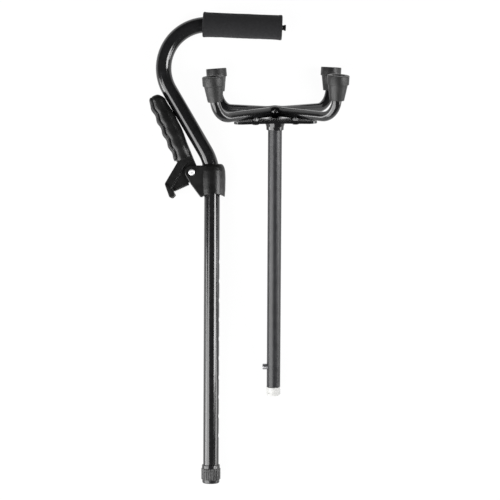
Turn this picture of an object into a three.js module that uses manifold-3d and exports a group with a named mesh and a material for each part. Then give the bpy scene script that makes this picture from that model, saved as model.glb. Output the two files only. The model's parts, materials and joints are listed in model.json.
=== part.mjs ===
// A height-adjustable four-footed cane with a folding stand-assist handle, taken apart into its upper and
// lower halves and laid side by side on a floor.
// Millimetres. +X right, +Y towards the crook and the feet, +Z up.
import * as THREE from 'three';
import { mergeVertices } from 'three/addons/utils/BufferGeometryUtils.js';
import Module from 'manifold-3d';

const wasm = await Module();
wasm.setup();

// ---- driving dimensions -------------------------------------------------------------------------------
const GAP = 0.3; // left between two pieces that touch
const SIDES = 24; // facets round a tube

// Handle tube, seen in its own plane: x right, y up from the bottom of the lock nut, z towards the viewer.
const TUBE_R = 11;
const TUBE_BORE_R = 10;
const TUBE_START = 9.5;
const OFFSET_BEND = { y: 449.2, lean: 30.5, radius: 75 };
const CROOK = { run: 230.1, radius: 61 };
const GRIP_BAR = { drop: 2.1, run: 212.4 };
const HOLES = { count: 10, first: 65.9, pitch: 27.2, radius: 4.15 };

const FOAM = { radius: 17.5, start: 103, length: 111.4, flare: 1.2 };
const PLUG_STUD = { neck: 3.5, head: 4.2, reach: 5.2, depth: 16 };

// Pivot bracket round the shaft, and the pin that the assist handle turns on.
const BRACKET = { bottom: 402, top: 448, radius: 19, depth: 15.5, cheekOut: 12, cheekIn: 8.6, slotX: -13.8 };
const BRACKET_ARCH = { x: 2, radius: 29.7, rise: 4.3 };
const BRACKET_SCREW = { y: 416, holeR: 2.3, headR: 3.5, recessR: 3.9, recessZ: -13.1, rivetZ: -15.1 };
const PIVOT = { x: -28.1, y: 435.7, noseR: 9.7, pinR: 3, headR: 4.95 };
const FOLD_ANGLE = 65.4; // from the stowed rest pose to the grip lying square to the shaft

// Assist handle, with its pivot at the origin and its grip lying level towards -x.
const ASSIST = { length: 119.6, halfDepth: 16.2, web: 7, jawX: 13.94, notchR: 11.5, lip: 14.5 };
const JAW_PAD = { thick: 2.7, tooth: 0.9, low: -33.6, high: -10.6, teeth: 9 };
const FINGERS = { edge: 15.15, wave: 0.85, pitch: 18.9, ridge: -45.7, strip: 5 };

// Lock nut and the slotted collet inside it.
const NUT = { topR: 12.6, ringR: 12.1, height: 25.6 };
const NUT_RIBS = { count: 24, radius: 13.45, rootR: 12.95, low: 5.2, high: 20.9 };
const COLLET = { outer: 11.9, bore: 9.75, low: 3.2, high: 20.2 };

// Lower half: x right, y up the tube from its free end to the feet, z towards the viewer.
const INNER_R = 9.5;
const INNER_BORE_R = 8.3;
const INNER_END = 389.2;
const BUSH = { radius: 9.8, length: 10.6, plug: 26 };
const BUTTON = { y: 40.8, radius: 4, reach: 6.3 };
const COLLAR = { low: 373.6, high: 386, smallR: 12.2, bigR: 13.9 };
const PLATE = { low: 386.3, thick: 1.6, corner: 55.5, front: 50, waistFront: 41, waistSide: 38 };
const PLATE_BOLT = { x: 26.6, z: 41, radius: 2.6, headR: 4.5, head: 1, tail: 4.6, nutHeight: 3.2 };
const BASE_SKEW = 0.8; // degrees: the welded base sits a little off square to its tube

const LEG_R = 6.5;
const LEG_BORE_R = 5.3;
const LEG_APEX = { y: 398.9, z: 0.8, radius: 14 };
const LEG_FOOT = { x: 77.3, y: 396.8, z: 78.7, radius: 25.5, splay: 5.2, drop: 55.6 };
const TIP = { height: 32.7, rimR: 14.3, rimHeight: 11.8, bodyR: 12.7, mouthR: 9.5, floor: 10 };
const TIP_RING = { radius: 8.4, depth: 1.2 };
const TIP_DISC = { radius: 6.1, thick: 2 };

// How the two halves lie.
const UPPER = { x: -55.1, y: -327.2, lean: -0.25, pitch: 0.368, height: 13.37 };
const LOWER = { x: 32.9, y: -203.6, lean: -0.16, pitch: 11.09, height: 9.45 };

const radians = THREE.MathUtils.degToRad;

// ---- materials ----------------------------------------------------------------------------------------
function finish(color, roughness, metalness) {
  return new THREE.MeshStandardMaterial({ color, roughness, metalness });
}
const glossBlack = () => finish(0x0b0b0c, 0.25, 0.4);
const satinBlack = () => finish(0x161617, 0.5, 0.3);
const nylonBlack = () => finish(0x1b1b1c, 0.55, 0);
const rubberBlack = () => finish(0x2e2e2f, 0.8, 0);
const foamBlack = () => finish(0x1e1e1f, 0.95, 0);
const steel = () => finish(0xc8c9cb, 0.3, 1);
const whiteNylon = () => finish(0xe9e9e6, 0.45, 0);

// ---- solids -------------------------------------------------------------------------------------------
// A geometry as a closed solid: corners shared, collapsed triangles dropped and every face turned outwards.
function solid(geometry) {
  const bare = geometry.index ? geometry.toNonIndexed() : geometry.clone();
  bare.deleteAttribute('normal');
  bare.deleteAttribute('uv');
  const merged = mergeVertices(bare, 1e-4);
  const source = merged.index.array;
  const triangles = [];
  for (let i = 0; i < source.length; i += 3) {
    const [a, b, c] = source.slice(i, i + 3);
    if (a !== b && b !== c && c !== a) triangles.push(a, b, c);
  }
  const vertProperties = merged.attributes.position.array;
  const made = () => {
    const triVerts = new Uint32Array(triangles);
    return new wasm.Manifold(new wasm.Mesh({ numProp: 3, vertProperties, triVerts }));
  };
  if (made().volume() < 0) triangles.reverse();
  return made();
}

function geometryOf(manifold) {
  const mesh = manifold.getMesh();
  const geometry = new THREE.BufferGeometry();
  geometry.setAttribute('position', new THREE.Float32BufferAttribute(mesh.vertProperties, 3));
  geometry.setIndex(new THREE.BufferAttribute(mesh.triVerts, 1));
  const flat = geometry.toNonIndexed();
  flat.computeVertexNormals();
  return flat;
}

const cut = (body, ...tools) => tools.reduce((left, tool) => left.subtract(tool), body);
const join = (...bodies) => bodies.reduce((sum, body) => sum.add(body));

function mesh(name, shape, material) {
  const made = new THREE.Mesh(geometryOf(shape), material);
  made.name = name;
  return made;
}

// A profile of [radius, height] pairs turned about the y axis into a closed surface.
function lathe(profile, sides) {
  const outline = [...profile, profile[0]].map(([r, y]) => new THREE.Vector2(r, y));
  return new THREE.LatheGeometry(outline, sides);
}

function turned(profile, sides = SIDES) {
  return solid(lathe(profile, sides));
}

// A turned piece whose axis starts at a point and runs along a direction.
function turnedAlong(profile, start, direction, sides = SIDES) {
  const geometry = lathe(profile, sides);
  const up = new THREE.Vector3(0, 1, 0);
  geometry.applyQuaternion(new THREE.Quaternion().setFromUnitVectors(up, direction));
  geometry.translate(start.x, start.y, start.z);
  return solid(geometry);
}

function rod(radius, from, to, sides = 16) {
  const direction = to.clone().sub(from);
  const length = direction.length();
  const profile = [[0, 0], [radius, 0], [radius, length], [0, length]];
  return turnedAlong(profile, from, direction.normalize(), sides);
}

// A flat outline in x and y, given thickness from z = low to z = high.
function slab(outline, low, high, curveSegments = 6) {
  const drawn = outline instanceof THREE.Shape;
  const shape = drawn ? outline : new THREE.Shape(outline.map(([x, y]) => new THREE.Vector2(x, y)));
  const depth = high - low;
  const geometry = new THREE.ExtrudeGeometry(shape, { depth, bevelEnabled: false, curveSegments });
  return solid(geometry.translate(0, 0, low));
}

function box(low, high) {
  const size = new THREE.Vector3().subVectors(high, low);
  const middle = new THREE.Vector3().addVectors(low, high).multiplyScalar(0.5);
  return solid(new THREE.BoxGeometry(size.x, size.y, size.z).translate(middle.x, middle.y, middle.z));
}

const at = (x, y, z = 0) => new THREE.Vector3(x, y, z);

// A route of straight stretches with rounded corners. It is sampled once at each end of a straight stretch
// and every few degrees round a corner, and its parameter counts those samples.
class Route extends THREE.Curve {
  constructor(corners, step = 9) {
    super();
    this.points = [corners[0].at];
    this.tangents = [corners[1].at.clone().sub(corners[0].at).normalize()];
    for (let i = 1; i < corners.length - 1; i += 1) {
      const here = corners[i].at;
      const into = here.clone().sub(corners[i - 1].at).normalize();
      const out = corners[i + 1].at.clone().sub(here).normalize();
      const turn = into.angleTo(out);
      const axis = into.clone().cross(out).normalize();
      const start = here.clone().addScaledVector(into, -corners[i].radius * Math.tan(turn / 2));
      const centre = start.clone().addScaledVector(axis.clone().cross(into), corners[i].radius);
      const steps = Math.max(2, Math.round(turn / radians(step)));
      for (let k = 0; k <= steps; k += 1) {
        const angle = (turn * k) / steps;
        this.points.push(start.clone().sub(centre).applyAxisAngle(axis, angle).add(centre));
        this.tangents.push(into.clone().applyAxisAngle(axis, angle));
      }
    }
    const last = corners[corners.length - 1].at;
    this.points.push(last);
    this.tangents.push(last.clone().sub(corners[corners.length - 2].at).normalize());
  }
  get steps() {
    return this.points.length - 1;
  }
  getPoint(t, target = new THREE.Vector3()) {
    return target.copy(this.points[Math.round(t * this.steps)]);
  }
  getPointAt(u, target) {
    return this.getPoint(u, target);
  }
  getTangentAt(u, target = new THREE.Vector3()) {
    return target.copy(this.tangents[Math.round(u * this.steps)]);
  }
}

function circle(radius, sides) {
  const outline = [];
  for (let i = 0; i < sides; i += 1) {
    const angle = (2 * Math.PI * i) / sides;
    outline.push(new THREE.Vector2(radius * Math.cos(angle), radius * Math.sin(angle)));
  }
  return outline;
}

// A round bar, or a tube where it has a bore, along a route.
function swept(route, radius, bore = 0, sides = SIDES) {
  const section = new THREE.Shape(circle(radius, sides));
  if (bore) section.holes.push(new THREE.Path(circle(bore, sides).reverse()));
  return solid(new THREE.ExtrudeGeometry(section, { steps: route.steps, extrudePath: route }));
}

// ---- handle tube, foam grip and end plug --------------------------------------------------------------
const leanOut = at(-Math.sin(radians(OFFSET_BEND.lean)), Math.cos(radians(OFFSET_BEND.lean)));
const barOut = at(Math.cos(radians(GRIP_BAR.drop)), -Math.sin(radians(GRIP_BAR.drop)));
const offsetCorner = at(0, OFFSET_BEND.y);
const crookCorner = offsetCorner.clone().addScaledVector(leanOut, CROOK.run);
const barEnd = crookCorner.clone().addScaledVector(barOut, GRIP_BAR.run);

function handleRoute(start) {
  return new Route([
    { at: at(0, start) },
    { at: offsetCorner, radius: OFFSET_BEND.radius },
    { at: crookCorner, radius: CROOK.radius },
    { at: barEnd },
  ]);
}

function handleTube() {
  const holes = [];
  for (let i = 0; i < HOLES.count; i += 1) {
    const y = HOLES.first + i * HOLES.pitch;
    holes.push(rod(HOLES.radius, at(TUBE_BORE_R - 5, y), at(TUBE_R + 1, y), 12));
  }
  return cut(swept(handleRoute(TUBE_START), TUBE_R, TUBE_BORE_R), ...holes);
}

// The sleeve reaches back a little way round the crook, so its bore flares at that end.
function foamGrip() {
  const { radius, length, flare } = FOAM;
  const bore = TUBE_R + GAP;
  const start = crookCorner.clone().addScaledVector(barOut, FOAM.start);
  return turnedAlong(
    [[bore + flare, 0], [radius - 1.5, 0], [radius, 1.5], [radius, length - 1.5], [radius - 1.5, length],
      [bore + flare / 2, length], [bore, length - 2], [bore, 9]],
    start,
    barOut,
    28,
  );
}

function endPlug() {
  const { neck, head, reach, depth } = PLUG_STUD;
  const face = FOAM.start + FOAM.length - GRIP_BAR.run;
  const body = TUBE_BORE_R - GAP;
  const tip = face + reach;
  return turnedAlong(
    [[0, -depth], [body - 0.8, -depth], [body, 1.5 - depth], [body, GAP], [TUBE_R, GAP],
      [TUBE_R, face - 0.3], [TUBE_R - 0.6, face], [neck, face], [neck, tip - 2.5], [head, tip - 2.5],
      [head, tip - 0.5], [head - 0.5, tip], [0, tip]],
    barEnd,
    barOut,
    16,
  );
}

// ---- pivot bracket ------------------------------------------------------------------------------------
// The two cheeks' outline: from the shaft round the nose at the pivot and down to a toe.
function bracketOutline() {
  const { bottom } = BRACKET;
  const { x, y, noseR } = PIVOT;
  const shape = new THREE.Shape();
  shape.moveTo(0, bottom + 1);
  shape.lineTo(0, y + noseR);
  shape.lineTo(x, y + noseR);
  shape.absarc(x, y, noseR, radians(90), radians(218), false);
  shape.lineTo(x + 0.5, y - 14);
  shape.lineTo(x + 10.2, bottom - 0.4);
  shape.lineTo(x + 14.5, bottom - 0.4);
  return shape;
}

function pivotBracket() {
  const { bottom, top, radius, depth, cheekOut, cheekIn, slotX } = BRACKET;
  const profile = [[0, bottom], [radius - 1, bottom], [radius - 0.3, bottom + 10], [radius, bottom + 26],
    [radius - 0.5, top - 10], [radius - 1.7, top - 4.5], [radius - 4, top - 0.6], [radius - 6, top],
    [0, top]];
  const sleeve = solid(lathe(profile, 32).scale(1, 1, depth / radius));
  const cheeks = slab(bracketOutline(), -cheekOut, cheekOut, 8);
  const archY = bottom + BRACKET_ARCH.rise - BRACKET_ARCH.radius;
  const archEnd = (z) => at(BRACKET_ARCH.x, archY, z);
  const arch = rod(BRACKET_ARCH.radius, archEnd(-depth - 1), archEnd(depth + 1), 48);
  const slot = box(at(-60, bottom - 10, -cheekIn), at(slotX, top + 10, cheekIn));
  const shaft = swept(handleRoute(bottom - 20), TUBE_R + GAP);
  const pinHole = rod(PIVOT.pinR + GAP, at(PIVOT.x, PIVOT.y, -depth), at(PIVOT.x, PIVOT.y, depth), 12);
  const screw = BRACKET_SCREW;
  const screwHole = rod(screw.holeR, at(0, screw.y, -depth - 1), at(0, screw.y, -8), 12);
  const screwRecess = rod(screw.recessR, at(0, screw.y, -depth - 1), at(0, screw.y, screw.recessZ), 12);
  return cut(join(sleeve, cheeks), arch, slot, shaft, pinHole, screwHole, screwRecess);
}

function bracketScrew() {
  const { y, headR, rivetZ } = BRACKET_SCREW;
  return turnedAlong(
    [[0, 0.9], [1.4, 0.9], [1.4, 0], [headR - 0.5, 0], [headR, 0.5], [headR, 2], [2, 2], [2, 3.7], [0, 3.7]],
    at(0, y, rivetZ),
    at(0, 0, 1),
    12,
  );
}

function pivotPin() {
  const { pinR, headR } = PIVOT;
  const inner = BRACKET.cheekOut + GAP;
  return turnedAlong(
    [[0, -inner - 1.2], [1.6, -inner - 2], [3.6, -inner - 1.7], [headR, -inner - 0.6], [headR, -inner],
      [pinR, -inner], [pinR, inner], [headR, inner], [headR, inner + 0.6], [3.6, inner + 1.7],
      [1.6, inner + 2], [0, inner + 1.2]],
    at(PIVOT.x, PIVOT.y),
    at(0, 0, 1),
    16,
  );
}

function pivotWasher(side) {
  const low = ASSIST.web + GAP;
  const high = BRACKET.cheekIn - GAP;
  return turnedAlong(
    [[PIVOT.pinR + GAP, low], [7, low], [7, high], [PIVOT.pinR + GAP, high]],
    at(PIVOT.x, PIVOT.y),
    at(0, 0, side),
    16,
  );
}

// ---- assist handle, in its own frame ------------------------------------------------------------------
// The finger edge is a shallow wave. An inset of 0 is the outer edge, the strip's depth is its inner edge.
function fingerEdge(inset, from, to) {
  const { edge, wave, pitch, ridge } = FINGERS;
  const points = [];
  const steps = Math.round(Math.abs(to - from) / (pitch / 6));
  for (let i = 0; i <= steps; i += 1) {
    const x = from + ((to - from) * i) / steps;
    points.push([x, inset - edge - wave * Math.cos((2 * Math.PI * (x - ridge)) / pitch)]);
  }
  return points;
}

// The grip's rounded section, run along x: it trims the grip's outline to an oval bar.
function gripSection(from, to, shrink = 0) {
  const points = [];
  const sides = 28;
  for (let i = 0; i < sides; i += 1) {
    const angle = (2 * Math.PI * i) / sides;
    const soften = (value) => Math.sign(value) * Math.abs(value) ** 0.72;
    const across = (ASSIST.halfDepth - shrink) * soften(Math.cos(angle));
    points.push([across, -1.7 + (15 - shrink) * soften(Math.sin(angle))]);
  }
  const shape = new THREE.Shape(points.map(([z, y]) => new THREE.Vector2(z, y)));
  const geometry = new THREE.ExtrudeGeometry(shape, { depth: to - from, bevelEnabled: false });
  return solid(geometry.rotateY(Math.PI / 2).translate(from, 0, 0));
}

function assistCore() {
  const { length, web, jawX, notchR, lip } = ASSIST;
  const jaw = jawX - JAW_PAD.thick - GAP;
  const grip = [
    ...fingerEdge(FINGERS.strip + GAP, -24, 5 - length),
    [1.5 - length, -7.6], [0.2 - length, -2], [0.9 - length, 3.7], [5.2 - length, 8.3],
    [-95, 10.2], [-79.6, 11.7], [-64.6, 12.5], [-50, 12], [-34.3, 10.9], [-24, 10.4],
  ];
  const gripBar = slab(grip, -20, 20).intersect(gripSection(-length - 5, -22));
  const webPlate = slab(
    [[-30, 10.6], [-8, 9.9], [0, 9.9], [7, 7], [9.9, 0], [jaw, -9.9], [jaw, -34.1], [19.4, -34.1],
      [21.6, -40],
      [18.8, -42.9], [-1, -41.3], [-22.5, -10.8], [-30, -9.5]],
    -web,
    web,
  );
  const shoulder = slab(
    [[-30, 10.2], [-17, 10.2], [-13.5, 0], [-11.5, -6.6], [9.6, -37], [9, -42.3], [-1, -41.3],
      [-22.5, -10.8], [-30, -9.8]],
    -BRACKET.cheekOut,
    BRACKET.cheekOut,
  );
  const saddle = slab(
    [[8.2, -36.4], [16, -34.4], [19.4, -34.1], [21.6, -40], [18.8, -42.9], [-1, -41.3], [3, -37.6]],
    -lip,
    lip,
  );
  const shaftX = -PIVOT.x;
  const notch = rod(notchR, at(shaftX, -60), at(shaftX, -20), 24);
  const bore = rod(PIVOT.pinR + GAP, at(0, 0, -20), at(0, 0, 20), 12);
  return cut(join(gripBar, webPlate, shoulder, saddle), notch, bore);
}

// The soft strip under the fingers.
function fingerGrip() {
  const from = -25;
  const to = 5.5 - ASSIST.length;
  const outline = [
    ...fingerEdge(0, from, to),
    [1.6 - ASSIST.length, -9.6],
    [2.6 - ASSIST.length, FINGERS.strip - FINGERS.edge - 0.2],
    ...fingerEdge(FINGERS.strip, to, from),
  ];
  return slab(outline, -18, 18).intersect(gripSection(-ASSIST.length - 5, -20, 0.8));
}

// The ribbed pad on the jaw: teeth across the face that meets the shaft.
function jawPad() {
  const { jawX, web } = ASSIST;
  const { thick, tooth, low, high, teeth } = JAW_PAD;
  const pitch = (high - low) / teeth;
  const outline = [[jawX - thick, low], [jawX - tooth, low]];
  for (let i = 0; i < teeth; i += 1) {
    outline.push([jawX, low + (i + 0.3) * pitch], [jawX, low + (i + 0.7) * pitch]);
    outline.push([jawX - tooth, low + (i + 1) * pitch]);
  }
  outline.push([jawX - thick, high]);
  return slab(outline, -web, web);
}

// ---- lock nut and collet ------------------------------------------------------------------------------
function lockNut() {
  const { topR, ringR, height } = NUT;
  const { count, radius, rootR, low, high } = NUT_RIBS;
  const pocket = COLLET.outer + GAP;
  const skin = rootR - 0.3;
  const bore = TUBE_R + GAP;
  const shell = turned(
    [[9.9, 1], [10.2, 0], [ringR - 0.9, 0], [ringR, 1.2], [ringR, low], [skin, low], [skin, high],
      [topR, high], [topR, height - 1], [topR - 0.8, height], [bore, height], [bore, COLLET.high + GAP],
      [pocket, COLLET.high + GAP], [pocket, 4], [11.4, 2.8], [9.9, 2.8]],
    count,
  );
  const outline = [];
  for (let i = 0; i < count; i += 1) {
    for (const [share, r] of [[-0.28, radius], [0.28, radius], [0.42, rootR], [0.58, rootR]]) {
      const angle = (2 * Math.PI * (i + share)) / count;
      outline.push(new THREE.Vector2(r * Math.cos(angle), r * Math.sin(angle)));
    }
  }
  const section = new THREE.Shape(outline);
  section.holes.push(new THREE.Path(circle(pocket + 0.1, count).reverse()));
  const band = new THREE.ExtrudeGeometry(section, { depth: high - low - 0.8, bevelEnabled: false });
  return join(shell, solid(band.rotateX(-Math.PI / 2).translate(0, low + 0.4, 0)));
}

function collet() {
  const { outer, bore, low, high } = COLLET;
  const body = turned([[bore, low], [11, low], [outer, 5.4], [outer, high], [TUBE_R + GAP, high],
    [TUBE_R + GAP, TUBE_START - GAP], [bore, TUBE_START - GAP]]);
  const slits = [];
  for (const quarter of [0, 1]) {
    const slit = new THREE.BoxGeometry(40, 5, 1.4).translate(0, low + 2, 0).rotateY((quarter * Math.PI) / 2);
    slits.push(solid(slit));
  }
  return cut(body, ...slits);
}

// ---- lower half: inner tube and what it carries -------------------------------------------------------
function innerTube() {
  const wall = turned([[INNER_BORE_R, BUSH.length + GAP], [INNER_R, BUSH.length + GAP], [INNER_R, INNER_END],
    [INNER_BORE_R, INNER_END]]);
  return cut(wall, rod(BUTTON.radius + 0.2, at(-12, BUTTON.y), at(-4, BUTTON.y), 12));
}

function endBush() {
  const { radius, length, plug } = BUSH;
  const body = INNER_BORE_R - GAP;
  return turned([[0, 1.6], [5, 1.6], [5.6, 0], [radius - 0.9, 0], [radius, 0.9], [radius, length - 0.4],
    [radius - 0.4, length], [body, length], [body, plug - 1.5], [body - 0.8, plug], [0, plug]]);
}

function snapButton() {
  const { radius, reach, y } = BUTTON;
  const tip = INNER_R + reach;
  return turnedAlong(
    [[0, 5.2], [5, 5.2], [5, 6.2], [radius, 6.2], [radius, tip - 2.2], [radius - 0.6, tip - 0.9],
      [radius - 2, tip - 0.1], [0, tip]],
    at(0, y),
    at(-1, 0, 0),
    16,
  );
}

// A hairpin of spring strip. One leg backs the button and the other lies on the far wall.
function snapSpring() {
  return slab(
    [[-4.9, BUTTON.y - 7], [-4.1, BUTTON.y - 7], [0.6, 86], [1.8, 88.2], [3, 86], [7, BUTTON.y - 5],
      [7.8, BUTTON.y - 5], [3.9, 87], [1.8, 89.6], [-0.2, 87]],
    -2.2,
    2.2,
  );
}

function baseCollar() {
  const { low, high, smallR, bigR } = COLLAR;
  const bore = INNER_R + GAP;
  return turned([[bore, low], [smallR - 0.8, low], [smallR, low + 0.8], [smallR + 0.1, low + 4.4],
    [bigR, high - 1.6],
    [bigR, high], [bore, high]]);
}

// One of the two stacked plates that join the tube to the legs.
function basePlate(layer) {
  const { low, thick, corner, front, waistFront, waistSide } = PLATE;
  const quadrant = [[0, waistFront], [corner - 12, front], [corner - 4, front - 1.5], [corner, front - 10],
    [waistSide, 0]];
  const outline = [];
  for (const [sx, sz] of [[1, 1], [1, -1], [-1, -1], [-1, 1]]) {
    const side = quadrant.map(([x, z]) => [sx * x, sz * z]);
    outline.push(...(sx * sz > 0 ? side : side.reverse()).slice(0, -1));
  }
  const shape = new THREE.Shape(outline.map(([x, z]) => new THREE.Vector2(x, z)));
  const geometry = new THREE.ExtrudeGeometry(shape, { depth: thick, bevelEnabled: false });
  const bottom = low + layer * (thick + GAP);
  const plate = solid(geometry.rotateX(-Math.PI / 2).translate(0, bottom, 0));
  const holes = [rod(INNER_R + GAP, at(0, bottom - 1), at(0, bottom + thick + 1), SIDES)];
  for (const [x, z] of boltPlaces()) {
    holes.push(rod(PLATE_BOLT.radius + GAP, at(x, bottom - 1, z), at(x, bottom + thick + 1, z), 12));
  }
  return cut(plate, ...holes);
}

function boltPlaces() {
  const { x, z } = PLATE_BOLT;
  return [[-x, z], [x, z], [x, -z], [-x, -z]];
}

function plateBolt(x, z) {
  const { radius, headR, head, tail } = PLATE_BOLT;
  const length = 2 * PLATE.thick + 3 * GAP + tail;
  return turnedAlong(
    [[0, -head], [headR - 1.4, -head], [headR, -head / 2], [headR, 0], [radius, 0], [radius, length - 0.5],
      [radius - 0.5, length], [0, length]],
    at(x, PLATE.low - GAP, z),
    at(0, 1, 0),
    12,
  );
}

function plateNut(x, z) {
  const bore = (PLATE_BOLT.radius + GAP) / Math.cos(Math.PI / 6);
  const { headR, nutHeight } = PLATE_BOLT;
  return turnedAlong(
    [[bore, 0], [headR - 0.4, 0], [headR, 0.4], [headR, nutHeight - 0.4], [headR - 0.5, nutHeight],
      [bore, nutHeight]],
    at(x, PLATE.low + 2 * PLATE.thick + 2 * GAP, z),
    at(0, 1, 0),
    6,
  );
}

// ---- legs and feet ------------------------------------------------------------------------------------
// One bent tube makes the two legs on one side: from a foot, round at the shaft and back to the other foot.
function legFrame(sx, sz) {
  const corner = at(sx * LEG_FOOT.x, LEG_FOOT.y, sz * LEG_FOOT.z);
  const outward = at(sx * LEG_FOOT.x, 0, sz * (LEG_FOOT.z - LEG_APEX.z)).normalize();
  const splay = radians(LEG_FOOT.splay);
  const down = at(0, Math.cos(splay)).addScaledVector(outward, Math.sin(splay));
  const ground = corner.clone().addScaledVector(down, LEG_FOOT.drop);
  return { corner, down, ground };
}

function legTube(sz) {
  const left = legFrame(-1, sz);
  const right = legFrame(1, sz);
  const back = TIP.floor + TIP_DISC.thick + 2 * GAP;
  const endAt = (leg) => leg.ground.clone().addScaledVector(leg.down, -back);
  const route = new Route(
    [
      { at: endAt(left) },
      { at: left.corner, radius: LEG_FOOT.radius },
      { at: at(0, LEG_APEX.y, sz * LEG_APEX.z), radius: LEG_APEX.radius },
      { at: right.corner, radius: LEG_FOOT.radius },
      { at: endAt(right) },
    ],
    17,
  );
  return swept(route, LEG_R, LEG_BORE_R, 14);
}

// A ferrule of rubber with its ground face at the origin and its mouth up the leg.
function footTip(sx, sz) {
  const { height, rimR, rimHeight, bodyR, mouthR, floor } = TIP;
  const bore = LEG_R + GAP;
  const { ground, down } = legFrame(sx, sz);
  return turnedAlong(
    [[0, TIP_RING.depth], [TIP_RING.radius, TIP_RING.depth], [TIP_RING.radius + 0.5, 0], [rimR - 0.8, 0],
      [rimR, 0.8], [rimR, rimHeight - 0.6], [rimR - 0.6, rimHeight], [bodyR, rimHeight],
      [bodyR - 0.5, rimHeight + 4], [mouthR, height], [bore, height], [bore, floor], [0, floor]],
    ground,
    down.clone().negate(),
    18,
  );
}

function tipDisc(sx, sz) {
  const { ground, down } = legFrame(sx, sz);
  const { radius, thick } = TIP_DISC;
  const low = TIP.floor + GAP;
  const profile = [[0, low], [radius, low], [radius, low + thick], [0, low + thick]];
  return turnedAlong(profile, ground, down.clone().negate(), 16);
}

// ---- assembly -----------------------------------------------------------------------------------------
function upperHalf() {
  const group = new THREE.Group();
  group.add(
    mesh('handle_tube', handleTube(), glossBlack()),
    mesh('foam_grip', foamGrip(), foamBlack()),
    mesh('grip_end_plug', endPlug(), nylonBlack()),
    mesh('pivot_bracket', pivotBracket(), nylonBlack()),
    mesh('bracket_screw', bracketScrew(), steel()),
    mesh('pivot_pin', pivotPin(), steel()),
    mesh('pivot_washer_front', pivotWasher(1), whiteNylon()),
    mesh('pivot_washer_rear', pivotWasher(-1), whiteNylon()),
    mesh('lock_nut', lockNut(), nylonBlack()),
    mesh('collet', collet(), nylonBlack()),
  );
  const assist = new THREE.Group();
  assist.add(
    mesh('assist_handle', assistCore(), nylonBlack()),
    mesh('finger_grip', fingerGrip(), rubberBlack()),
    mesh('jaw_pad', jawPad(), rubberBlack()),
  );
  assist.position.set(PIVOT.x, PIVOT.y, 0);
  assist.rotation.z = radians(-FOLD_ANGLE);
  group.add(assist);
  return group;
}

function lowerHalf() {
  const group = new THREE.Group();
  group.add(
    mesh('inner_tube', innerTube(), satinBlack()),
    mesh('end_bush', endBush(), whiteNylon()),
    mesh('snap_button', snapButton(), steel()),
    mesh('snap_spring', snapSpring(), steel()),
    mesh('base_collar', baseCollar(), glossBlack()),
    fourFootedBase(),
  );
  return group;
}

// The plates, legs and feet, turned together about the middle of the plates by the skew.
function fourFootedBase() {
  const group = new THREE.Group();
  const turn = radians(BASE_SKEW);
  const pivot = at(0, PLATE.low + PLATE.thick);
  group.rotation.z = turn;
  group.position.copy(pivot).sub(pivot.clone().applyAxisAngle(at(0, 0, 1), turn));
  group.add(
    mesh('tube_flange', basePlate(0), glossBlack()),
    mesh('leg_plate', basePlate(1), glossBlack()),
    mesh('leg_tube_front', legTube(1), glossBlack()),
    mesh('leg_tube_rear', legTube(-1), glossBlack()),
  );
  boltPlaces().forEach(([x, z], i) => {
    group.add(mesh(`plate_bolt_${i + 1}`, plateBolt(x, z), glossBlack()));
    group.add(mesh(`plate_nut_${i + 1}`, plateNut(x, z), glossBlack()));
  });
  for (const [side, sx] of [['left', -1], ['right', 1]]) {
    for (const [end, sz] of [['front', 1], ['rear', -1]]) {
      group.add(mesh(`foot_tip_${end}_${side}`, footTip(sx, sz), rubberBlack()));
      group.add(mesh(`tip_disc_${end}_${side}`, tipDisc(sx, sz), steel()));
    }
  }
  return group;
}

// A half lies on the floor with its axis pitched a little, and leans a little in plan.
function laid(group, { x, y, lean, pitch, height }) {
  group.rotation.set(radians(pitch), 0, radians(lean), 'ZXY');
  group.position.set(x, y, height);
  return group;
}

const cane = new THREE.Group();
cane.add(laid(upperHalf(), UPPER), laid(lowerHalf(), LOWER));

// The origin is the middle of the cane's box on the floor.
const extent = new THREE.Box3().setFromObject(cane, true);
const middle = extent.getCenter(new THREE.Vector3());
cane.position.set(-middle.x, -middle.y, -extent.min.z);

export default cane;
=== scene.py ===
"""The looks of a four-footed cane with a folding stand-assist handle, taken apart and laid on a pale floor.

Each piece is built in millimetres in the frame of its own half of the cane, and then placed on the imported
model.
"""

import json
import math

import bmesh
import bpy
from mathutils import Matrix, Vector, noise


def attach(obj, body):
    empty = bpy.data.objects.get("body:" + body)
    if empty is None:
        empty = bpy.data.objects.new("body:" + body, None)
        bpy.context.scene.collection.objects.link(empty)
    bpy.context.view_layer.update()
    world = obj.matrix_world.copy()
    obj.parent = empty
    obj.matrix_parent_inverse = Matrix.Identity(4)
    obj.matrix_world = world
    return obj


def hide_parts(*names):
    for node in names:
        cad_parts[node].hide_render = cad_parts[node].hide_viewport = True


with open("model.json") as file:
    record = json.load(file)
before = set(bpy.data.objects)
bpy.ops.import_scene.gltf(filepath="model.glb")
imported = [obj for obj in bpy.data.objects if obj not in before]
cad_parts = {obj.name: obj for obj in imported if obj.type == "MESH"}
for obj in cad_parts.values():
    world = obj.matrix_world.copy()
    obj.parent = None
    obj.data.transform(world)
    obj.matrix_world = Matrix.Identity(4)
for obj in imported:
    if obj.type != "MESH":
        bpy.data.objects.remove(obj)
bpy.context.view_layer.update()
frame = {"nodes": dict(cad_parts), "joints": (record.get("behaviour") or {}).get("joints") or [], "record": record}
RECORD = frame["record"]
MM = 0.001

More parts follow.
